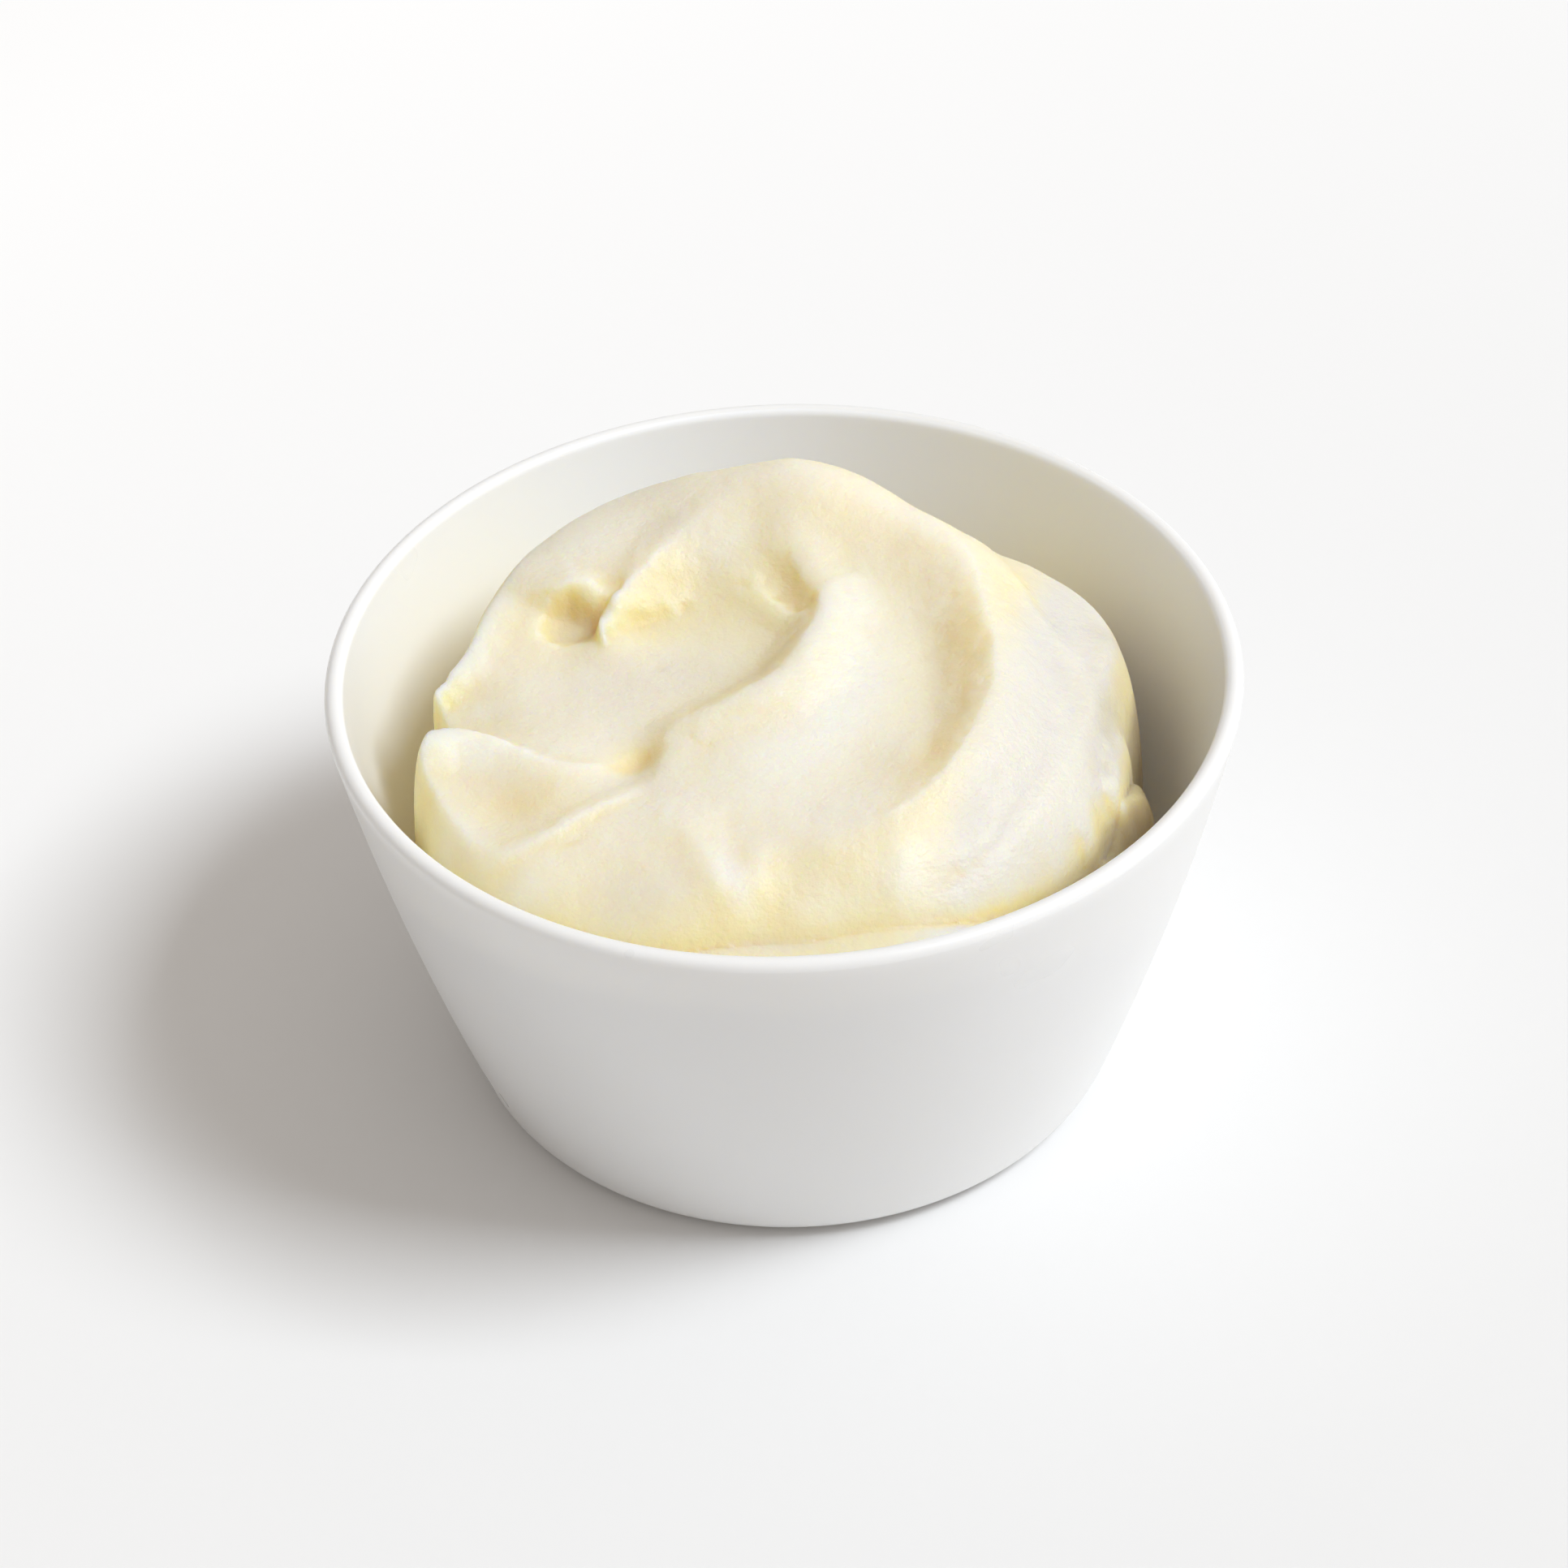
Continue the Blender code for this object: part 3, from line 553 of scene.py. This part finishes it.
def nearestOnRoute(x, y, route):
    # distance to the route, share of the way along it, side (+1 left, -1 right), leftward unit
    best = np.full(x.shape, np.inf)
    along = np.zeros_like(x)
    side = np.zeros_like(x)
    leftX = np.zeros_like(x)
    leftY = np.zeros_like(x)
    for index in range(len(route) - 1):
        ax, ay = route[index, :2]
        stepX, stepY = route[index + 1, :2] - route[index, :2]
        length = math.hypot(stepX, stepY)
        t = np.clip(((x - ax) * stepX + (y - ay) * stepY) / length**2, 0, 1)
        offX = x - ax - t * stepX
        offY = y - ay - t * stepY
        distance = np.hypot(offX, offY)
        closer = distance < best
        cross = (offY * stepX - offX * stepY) / (length * np.maximum(distance, 1e-9))
        best = np.where(closer, distance, best)
        along = np.where(closer, (index + t) / (len(route) - 1), along)
        side = np.where(closer, cross, side)
        leftX = np.where(closer, -stepY / length, leftX)
        leftY = np.where(closer, stepX / length, leftY)
    return best, along, side, leftX, leftY


def foldHeights(x, y):
    # Each fold adds its rise times a slope that falls away over the steep width on one side of its
    # route and the easy width on the other. The slope is a smooth step, mixed on the steep side
    # with (1 - t)^2, which gives a sharp crest.
    height = np.zeros_like(x)
    leanX = np.zeros_like(x)
    leanY = np.zeros_like(x)
    for fold in folds.values():
        route = smoothRoute(fold["route"])
        steepSign = 1 if fold["steep"] == "left" else -1
        distance, along, side, leftX, leftY = nearestOnRoute(x, y, route)
        share = np.linspace(0, 1, len(route))
        rise = np.interp(along, share, route[:, 2])
        steep = np.interp(along, share, route[:, 3])
        easy = np.interp(along, share, route[:, 4])
        onSteep = 0.5 * (1 + side * steepSign)
        t = np.clip(distance / (easy + (steep - easy) * onSteep), 0, 1)
        crisp = np.interp(along, [0, 1], fold["crisp"]) * ease(2 * onSteep - 0.5)
        slope = (1 - crisp) * (1 - ease(t)) + crisp * (1 - t)**2
        height += rise * slope
        full = mashShape["fullLean"]
        push = fold.get("lean", 0.0) * np.clip(rise / full, 0, 1) * slope * np.clip(full / steep, 0, 1)
        leanX += steepSign * leftX * push
        leanY += steepSign * leftY * push
    return height, leanX, leanY


def smoothMound(x, y):
    # thin-plate spline through the named heights less the folds there: a plane plus weights times
    # r^2 log r, slightly stiffened
    places = np.array(mashHeights, float)
    px, py = places[:, 0], places[:, 1]
    target = places[:, 2] - foldHeights(px, py)[0]

    def bend(dx, dy):
        square = dx**2 + dy**2
        return 0.5 * square * np.log(np.maximum(square, 1e-9))

    count = len(places)
    plane = np.stack([np.ones(count), px, py], 1)
    stiff = np.eye(count) * mashShape["stiffness"]
    matrix = np.zeros((count + 3, count + 3))
    matrix[:count, :count] = bend(px[:, None] - px, py[:, None] - py) + stiff
    matrix[:count, count:] = plane
    matrix[count:, :count] = plane.T
    weights = np.linalg.solve(matrix, np.concatenate([target, np.zeros(3)]))
    height = weights[count] + weights[count + 1] * x + weights[count + 2] * y
    for index in range(count):
        height = height + weights[index] * bend(x - px[index], y - py[index])
    return height


def ovalDepth(x, y, ovals):
    # sum of ovals, each depth * exp(-fall * oval distance squared), or to the fourth for a firm edge
    depth = np.zeros_like(x)
    for middleX, middleY, halfLength, halfWidth, turn, deep, firm in ovals:
        angle = math.radians(turn)
        along = (x - middleX) * math.cos(angle) + (y - middleY) * math.sin(angle)
        across = (y - middleY) * math.cos(angle) - (x - middleX) * math.sin(angle)
        square = (along / halfLength)**2 + (across / halfWidth)**2
        depth += deep * np.exp(-mashShape["ovalFall"] * square**firm)
    return depth


def mashRadius(z):
    return innerRadius(z) + mashShape["intoWall"]


def mashTop():
    # a square grid stretched over the round bowl: x = u * sqrt(1 - v^2 / 2), y = v * sqrt(1 - u^2 / 2)
    shape = mashShape
    steps = np.linspace(-1, 1, shape["gridSteps"] + 1)
    u, v = np.meshgrid(steps, steps)
    discX = u * np.sqrt(1 - v**2 / 2)
    discY = v * np.sqrt(1 - u**2 / 2)
    angle = np.arctan2(discY, discX)
    foot, shoulder, skirt = footAround(angle)
    reach = mashRadius(skirt)
    x = discX * reach
    y = discY * reach
    # the folds are looked up at slightly shifted places, which makes their edges ragged
    lookX, lookY = x, y
    for name, seed in (("ragged", 3), ("wander", 5)):
        shift, size = shape[name]
        lookX = lookX + shift * lumpNoise(x, y, size, seed)
        lookY = lookY + shift * lumpNoise(x, y, size, seed + 1)
    height, leanX, leanY = foldHeights(lookX, lookY)
    height = height + smoothMound(x, y) - ovalDepth(lookX, lookY, hollows)
    skirt = skirt - ovalDepth(lookX, lookY, skirtLayer)
    for name, seed in (("lumps", 11), ("pimples", 12), ("waves", 13)):
        deep, size = shape[name]
        height = height + deep * lumpNoise(x, y, size, seed)
    # share of the way over the shoulder, with the foot's line wandering a little
    shift, size = shape["footWander"]
    out = (np.hypot(x, y) + shift * lumpNoise(x, y, size, 15) - foot) / shoulder + 1
    rounding = np.sqrt(1 - np.clip(out, 0, 1)**2)
    z = skirt + (height - skirt) * rounding
    deep, size = shape["sideLumps"]
    z = z + deep * lumpNoise(x, y, size, 14) * (1 - rounding)
    return x + leanX * rounding, y + leanY * rounding, z


# how the share of open sky is worked out, in mm
skyLook = {
    "directions": 16, "reaches": (0.8, 1.5, 2.5, 4, 6, 9, 13), "pad": 14,
    "edgeHeight": 50.0,                 # the wall around the mash, for this purpose
    "midHeight": 45.0,                  # where the grid's spacing is taken
}


def skyShare(z):
    # share of the sky that each point sees: over even directions, one less the sine of the highest
    # slope to the points around it; past the grid's edge stands the bowl's lower wall
    spacing = 2 * mashRadius(skyLook["midHeight"]) / mashShape["gridSteps"]
    pad = int(skyLook["pad"] / spacing) + 1
    wall = np.pad(z, pad, constant_values=skyLook["edgeHeight"])
    share = np.zeros_like(z)
    directions = skyLook["directions"]
    for k in range(directions):
        turn = 2 * math.pi * k / directions
        steepest = np.zeros_like(z)
        for reach in skyLook["reaches"]:
            i = pad + int(round(reach / spacing * math.sin(turn)))
            j = pad + int(round(reach / spacing * math.cos(turn)))
            other = wall[i:i + z.shape[0], j:j + z.shape[1]]
            steepest = np.maximum(steepest, (other - z) / reach)
        share += 1 - steepest / np.sqrt(1 + steepest**2)
    return share / directions


def makeMash():
    top = np.stack(mashTop(), -1)
    side = len(top)
    index = np.arange(side * side).reshape(side, side)
    cells = np.stack([index[:-1, :-1], index[:-1, 1:], index[1:, 1:], index[1:, :-1]], -1)
    ring = np.concatenate([index[0, :-1], index[:-1, -1], index[-1, :0:-1], index[:0:-1, 0]])
    edge = top.reshape(-1, 3)[ring]
    angle = np.arctan2(edge[:, 1], edge[:, 0])
    # rings down the wall, then round the corner to the floor
    floorZ = bowlShape["floor"] + mashShape["overFloor"]
    cornerTop = floorZ + bowlShape["innerCorner"]
    shares = np.linspace(0, 1, mashShape["sideSteps"] + 1)[1:, None]
    turn = np.linspace(math.pi / 2, 0, mashShape["cornerSteps"] + 1)[1:, None]
    levels = np.concatenate([edge[:, 2] + (cornerTop - edge[:, 2]) * shares,
                             np.broadcast_to(floorZ + bowlShape["innerCorner"] * (1 - np.cos(turn)),
                                             (mashShape["cornerSteps"], len(ring)))])
    radius = mashRadius(levels) - mashShape["offWall"]
    lower = np.stack([radius * np.cos(angle), radius * np.sin(angle), levels], -1)
    rings = np.vstack([ring, side * side + np.arange(levels.size).reshape(levels.shape)])
    following = np.roll(rings, -1, 1)
    sides = np.stack([rings[:-1], rings[1:], following[1:], following[:-1]], -1)
    middle = side * side + levels.size
    fan = np.stack([rings[-1], np.full(len(ring), middle), following[-1]], -1)
    points = np.concatenate([top.reshape(-1, 3), lower.reshape(-1, 3), [[0, 0, floorZ]]])
    quads = np.concatenate([cells.reshape(-1, 4), sides.reshape(-1, 4)])
    mesh = buildMesh("spoonedMash", points, quads, fan)
    hidden = np.full(levels.size + 1, mashZones["hiddenSky"])
    addMashMasks(mesh, points, np.concatenate([skyShare(top[..., 2]).ravel(), hidden]))
    return addPiece("spoonedMash", mesh, mashMaterial())


# Where each tint of the mash starts and how far it takes to reach full strength: mm, and shares of
# the open sky
mashZones = {
    "low": (59.0, 6.5), "foot": (52.0, 5.0), "clearOfWall": (0.3, 5.0),
    "right": (24.0, 7.0), "rightward": (0.95, -0.3), "rightOpen": (0.62, 0.16),
    "back": (31.0, 7.0), "backOpen": (0.2, 0.3),
    "hiddenSky": 0.2,
}


def zoneAbove(value, name):
    start, width = mashZones[name]
    return ease((value - start) / width)


def zoneBelow(value, name):
    start, width = mashZones[name]
    return ease((start - value) / width)


def addMashMasks(mesh, points, openSky):
    x, y, z = points.T
    addPointMask(mesh, "openSky", openSky)
    addPointMask(mesh, "lowFlank", zoneBelow(z, "low"))
    # painted light: the open slope outside the coil, away from its creases and its foot, and the open
    # back, painted darker and whiter as the white key light shows them
    alongX, alongY = mashZones["rightward"]
    onRight = zoneAbove(alongX * x + alongY * y, "right")
    rightFlank = onRight * zoneAbove(openSky, "rightOpen")
    backFlank = zoneAbove(y, "back") * zoneAbove(openSky, "backOpen")
    addPointMask(mesh, "outerFlank", np.maximum(rightFlank, backFlank))
    # painted shade: low on the right, where the mash sinks into the gap by the wall
    addPointMask(mesh, "foot", onRight * zoneBelow(z, "foot"))
    addPointMask(mesh, "fromWall", zoneAbove(mashRadius(z) - np.hypot(x, y), "clearOfWall"))
    for name, patch in tonesAndPaintedShade.items():
        addPointMask(mesh, name, np.clip(ovalDepth(x, y, patch["ovals"]), 0, 1))


mashFinish = {
    "open": (0.865, 0.82, 0.71), "cloud": (0.86, 0.805, 0.665), "deep": (0.865, 0.75, 0.38),
    "deepestShade": (0.80, 0.64, 0.26), "low": (0.78, 0.73, 0.61), "flank": (0.76, 0.735, 0.67),
    "foot": (0.54, 0.44, 0.265),
    "shade": (0.96, 0.62, 0.32),        # shares of open sky where the painted shade of deep starts, is full, and where the darkest painted shade is
    "clouds": (0.009, 0.0006), "grain": (0.003, 0.0016),       # m between clouds, m between grains
    "coarseBump": (0.0003, 0.8), "fineBump": (0.0002, 0.8),
    "roughness": (0.38, 0.52), "specular": 0.4,
    "throughWeight": 1.0, "throughScale": 0.008, "throughRadius": (1.0, 0.72, 0.20),
}


def mashMaterial():
    material, nodes, links, shader = startMaterial("creamyMash")
    fine = addVariation(nodes, *mashFinish["clouds"])
    coarse = addVariation(nodes, *mashFinish["grain"])
    sky = readMask(nodes, "openSky")
    clouds = rangeNode(nodes, links, fine.outputs["Clouds"], 0.35, 0.68, 0, 1)
    colour = mixColours(nodes, links, clouds, mashFinish["open"], mashFinish["cloud"])
    colour = mixColours(nodes, links, readMask(nodes, "lowFlank"), colour, mashFinish["low"])
    # painted shade: the less open sky a point sees, in hollows, creases and under overhangs, the
    # yellower and then darker its colour
    lit, shaded, darkest = mashFinish["shade"]
    shade = rangeNode(nodes, links, sky, lit, shaded, 0, 1)
    colour = mixColours(nodes, links, shade, colour, mashFinish["deep"])
    shade = rangeNode(nodes, links, sky, shaded, darkest, 0, 1)
    colour = mixColours(nodes, links, shade, colour, mashFinish["deepestShade"])
    # painted light: the open outer slopes on the right and at the back get a darker, whiter colour,
    # standing in for how the white key light falls on them
    colour = mixColours(nodes, links, readMask(nodes, "outerFlank"), colour, mashFinish["flank"])
    # painted shade, and the paler spots, from the patches above
    for name, patch in tonesAndPaintedShade.items():
        colour = mixColours(nodes, links, readMask(nodes, name), colour, patch["colour"])
    # painted shade: dark brown-yellow low on the right, in the gap beside the wall
    colour = mixColours(nodes, links, readMask(nodes, "foot"), colour, mashFinish["foot"])
    links.new(colour, shader.inputs["Base Color"])
    low, high = mashFinish["roughness"]
    rough = rangeNode(nodes, links, coarse.outputs["Clouds"], 0.3, 0.7, low, high)
    links.new(rough, shader.inputs["Roughness"])
    normal = bumpNode(nodes, links, coarse.outputs["Grain"], *mashFinish["coarseBump"])
    normal = bumpNode(nodes, links, fine.outputs["Grain"], *mashFinish["fineBump"], normal)
    links.new(normal, shader.inputs["Normal"])
    # beside the wall no light goes through, because it would come out where the bowl hides it
    clear = readMask(nodes, "fromWall")
    through = rangeNode(nodes, links, clear, 0, 1, 0, mashFinish["throughWeight"])
    links.new(through, shader.inputs["Subsurface Weight"])
    shader.inputs["Subsurface Scale"].default_value = mashFinish["throughScale"]
    shader.inputs["Subsurface Radius"].default_value = mashFinish["throughRadius"]
    shader.inputs["Specular IOR Level"].default_value = mashFinish["specular"]
    return material


mash = makeMash()
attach(mash, "root")
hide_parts("mashed_potato")
print("mash made:", len(mash.data.polygons), "faces")


# Floor and light

studio = {
    "floorSize": 4.0, "floorNear": (0.80, 0.80, 0.80), "floorFar": (0.97, 0.97, 0.97),
    "floorFade": (-0.15, 0.38),         # painted light: m of Y less X, from the near colour to the far one
    "floorRoughness": 0.7, "floorSpecular": 0.1,
    "toKey": (0.58, -0.12, 0.80), "keyDistance": 5.0, "keySize": 1.75, "keyPower": 196.0,
    "keyColour": (0.90, 0.95, 1.0), "skyColour": (1.0, 0.93, 0.86), "skyStrength": (0.20, 0.64),
    "skyRightward": 0.44, "skySpan": (-0.3, 1.04),
}


def makeFloor():
    half = studio["floorSize"]
    points = np.array([[-half, -half, 0], [half, -half, 0], [half, half, 0], [-half, half, 0]]) / mm
    mesh = buildMesh("paleFloor", points, np.array([[0, 1, 2, 3]]), np.zeros((0, 3), int))
    material, nodes, links, shader = startMaterial("paleFloor")
    # painted light: the floor is painted darker at the front right and lighter at the back left, as
    # light falling off across it would make it
    split = splitPlace(nodes, links, "Object")
    across = nodes.new("ShaderNodeMath")
    across.operation = "SUBTRACT"
    links.new(split["Y"], across.inputs[0])
    links.new(split["X"], across.inputs[1])
    far = rangeNode(nodes, links, across.outputs[0], *studio["floorFade"], 0, 1)
    colour = mixColours(nodes, links, far, studio["floorNear"], studio["floorFar"])
    links.new(colour, shader.inputs["Base Color"])
    shader.inputs["Roughness"].default_value = studio["floorRoughness"]
    shader.inputs["Specular IOR Level"].default_value = studio["floorSpecular"]
    floor = addPiece("paleFloor", mesh, material)


def makeLight():
    toKey = Vector(studio["toKey"]).normalized()
    data = bpy.data.lights.new("softKey", "AREA")
    data.size = studio["keySize"]
    data.energy = studio["keyPower"]
    data.color = studio["keyColour"]
    key = bpy.data.objects.new("softKey", data)
    key.location = toKey * studio["keyDistance"]
    key.rotation_euler = (-toKey).to_track_quat("-Z", "Y").to_euler()
    scene.collection.objects.link(key)
    world = bpy.data.worlds.new("studioSky")
    world.use_nodes = True
    # the sky is brighter overhead than at the horizon, and brighter on the right than on the left
    nodes, links = world.node_tree.nodes, world.node_tree.links
    sky = nodes["Background"]
    split = splitPlace(nodes, links, "Generated")
    toRight = nodes.new("ShaderNodeMath")
    toRight.operation = "MULTIPLY_ADD"
    links.new(split["X"], toRight.inputs[0])
    toRight.inputs[1].default_value = studio["skyRightward"]
    links.new(split["Z"], toRight.inputs[2])
    strength = rangeNode(nodes, links, toRight.outputs[0], *studio["skySpan"], *studio["skyStrength"])
    links.new(strength, sky.inputs["Strength"])
    sky.inputs["Color"].default_value = (*studio["skyColour"], 1.0)
    scene.world = world
    scene.view_settings.view_transform = "Standard"


makeFloor()
makeLight()
print("floor and light set")
